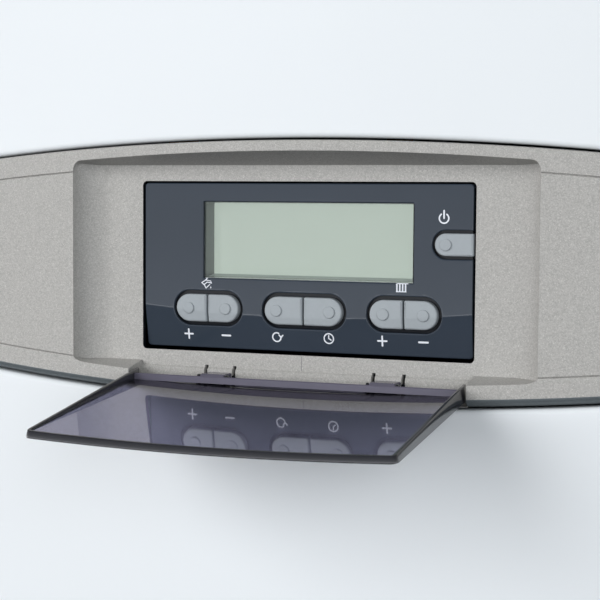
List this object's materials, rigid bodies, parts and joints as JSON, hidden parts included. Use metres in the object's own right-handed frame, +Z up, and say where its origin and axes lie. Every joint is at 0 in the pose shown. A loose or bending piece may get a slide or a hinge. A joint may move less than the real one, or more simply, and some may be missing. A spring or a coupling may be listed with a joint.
{
  "type": "wall-hung combination boiler",
  "caption": "Tall white wall-hung boiler with a bowed front, a silver control band, a recessed display panel with buttons and a smoked drop-down flap.",
  "frame": {"origin": "centre of the wall bracket's rear face, on the wall", "axes": "+Z up, -Y out of the wall towards the room, +X to the right as seen from the room"},
  "size_m": [0.45, 0.4335, 0.855],
  "materials": {
    "white_paint": "smooth white stove enamel",
    "galvanised": "plain galvanised sheet",
    "steel": "bright steel",
    "band_silver": "champagne-silver metallic paint with a fine speckle",
    "grey_plastic": "glossy blue-grey plastic",
    "black_plastic": "black moulded plastic",
    "button_grey": "light grey moulded plastic",
    "smoked_clear": "smoked transparent plastic",
    "clear": "clear plastic",
    "display": "pale grey-green liquid crystal glass",
    "circuit_board": "green solder mask",
    "copper": "bright drawn copper",
    "brass": "turned brass",
    "aluminium": "cast and pressed aluminium",
    "cast_iron": "painted cast housing",
    "red": "red paint",
    "white_plastic": "white ceramic and plastic"
  },
  "bodies": {
    "boiler": {"wall_bracket": "galvanised", "back_frame": "galvanised", "left_side_panel": "white_paint", "right_side_panel": "white_paint", "top_panel": "white_paint", "bottom_panel": "galvanised", "front_casing": "white_paint", "casing_screw_left": "steel", "casing_screw_right": "steel", "control_fascia": "band_silver", "control_box": "black_plastic", "main_board": "circuit_board", "controller_case": "grey_plastic", "controller_back": "black_plastic", "display_window": "clear", "lcd_module": "display", "controller_board": "circuit_board", "air_box": "galvanised", "air_box_cover": "galvanised", "sight_glass": "clear", "combustion_chamber": "aluminium", "spark_electrode": "white_plastic", "burner": "steel", "gas_manifold": "aluminium", "heat_exchanger": "copper", "smoke_hood": "galvanised", "fan_housing": "aluminium", "fan_motor": "black_plastic", "flue_turret": "white_paint", "expansion_vessel": "red", "heating_flow_connector": "brass", "hot_water_connector": "brass", "gas_connector": "brass", "cold_water_connector": "brass", "heating_return_connector": "brass", "flow_manifold": "brass", "return_manifold": "black_plastic", "pump_motor": "cast_iron", "diverter_motor": "black_plastic", "plate_heat_exchanger": "steel", "pressure_gauge": "black_plastic", "gas_valve": "aluminium", "gas_pipe": "copper", "flow_pipe": "copper", "return_pipe": "copper", "expansion_pipe": "copper"},
    "flap_body": {"flap": "smoked_clear"},
    "power_key": {"button_power": "button_grey"},
    "hot_water_plus_key": {"button_hot_water_plus": "button_grey"},
    "hot_water_minus_key": {"button_hot_water_minus": "button_grey"},
    "reset_key": {"button_reset": "button_grey"},
    "clock_key": {"button_clock": "button_grey"},
    "heating_plus_key": {"button_heating_plus": "button_grey"},
    "heating_minus_key": {"button_heating_minus": "button_grey"},
    "fan_rotor": {"fan_impeller": "steel"},
    "pump_rotor": {"pump_impeller": "white_plastic"},
    "diverter_stem": {"diverter_spindle": "steel"},
    "safety_knob": {"safety_valve_knob": "red"},
    "tap_knob": {"filling_tap_knob": "black_plastic"},
    "gauge_pointer": {"pressure_needle": "red"}
  },
  "joints": [
    {"name": "flap_hinge", "type": "hinge", "parent": "boiler", "child": "flap_body", "pos_m": [0, -0.3392, -0.5304], "axis": [-1, 0, 0], "range_deg": [0, 95.8]},
    {"name": "power_press", "type": "slide", "parent": "boiler", "child": "power_key", "axis": [0, 1, 0], "range_m": [0, 0.001], "stiffness_N_per_m": 1000},
    {"name": "hot_water_plus_press", "type": "slide", "parent": "boiler", "child": "hot_water_plus_key", "axis": [0, 1, 0], "range_m": [0, 0.001], "stiffness_N_per_m": 1000},
    {"name": "hot_water_minus_press", "type": "slide", "parent": "boiler", "child": "hot_water_minus_key", "axis": [0, 1, 0], "range_m": [0, 0.001], "stiffness_N_per_m": 1000},
    {"name": "reset_press", "type": "slide", "parent": "boiler", "child": "reset_key", "axis": [0, 1, 0], "range_m": [0, 0.001], "stiffness_N_per_m": 1000},
    {"name": "clock_press", "type": "slide", "parent": "boiler", "child": "clock_key", "axis": [0, 1, 0], "range_m": [0, 0.001], "stiffness_N_per_m": 1000},
    {"name": "heating_plus_press", "type": "slide", "parent": "boiler", "child": "heating_plus_key", "axis": [0, 1, 0], "range_m": [0, 0.001], "stiffness_N_per_m": 1000},
    {"name": "heating_minus_press", "type": "slide", "parent": "boiler", "child": "heating_minus_key", "axis": [0, 1, 0], "range_m": [0, 0.001], "stiffness_N_per_m": 1000},
    {"name": "fan_spin", "type": "hinge", "parent": "boiler", "child": "fan_rotor", "pos_m": [-0.0395, -0.18, -0.0191], "axis": [0, 1, 0], "continuous": true},
    {"name": "pump_spin", "type": "hinge", "parent": "boiler", "child": "pump_rotor", "pos_m": [0.136, -0.19, -0.642], "axis": [0, 1, 0], "continuous": true},
    {"name": "diverter_stroke", "type": "slide", "parent": "boiler", "child": "diverter_stem", "axis": [0, -1, 0], "range_m": [0, 0.008]},
    {"name": "safety_knob_turn", "type": "hinge", "parent": "boiler", "child": "safety_knob", "pos_m": [-0.185, -0.11, -0.651], "axis": [-1, 0, 0], "range_deg": [0, 90]},
    {"name": "tap_turn", "type": "hinge", "parent": "boiler", "child": "tap_knob", "pos_m": [0.065, -0.215, -0.715], "axis": [0, 0, 1], "range_deg": [0, 270]},
    {"name": "gauge_sweep", "type": "hinge", "parent": "boiler", "child": "gauge_pointer", "pos_m": [-0.065, -0.215, -0.71], "axis": [0, 0, 1], "range_deg": [-120, 120]}
  ]
}
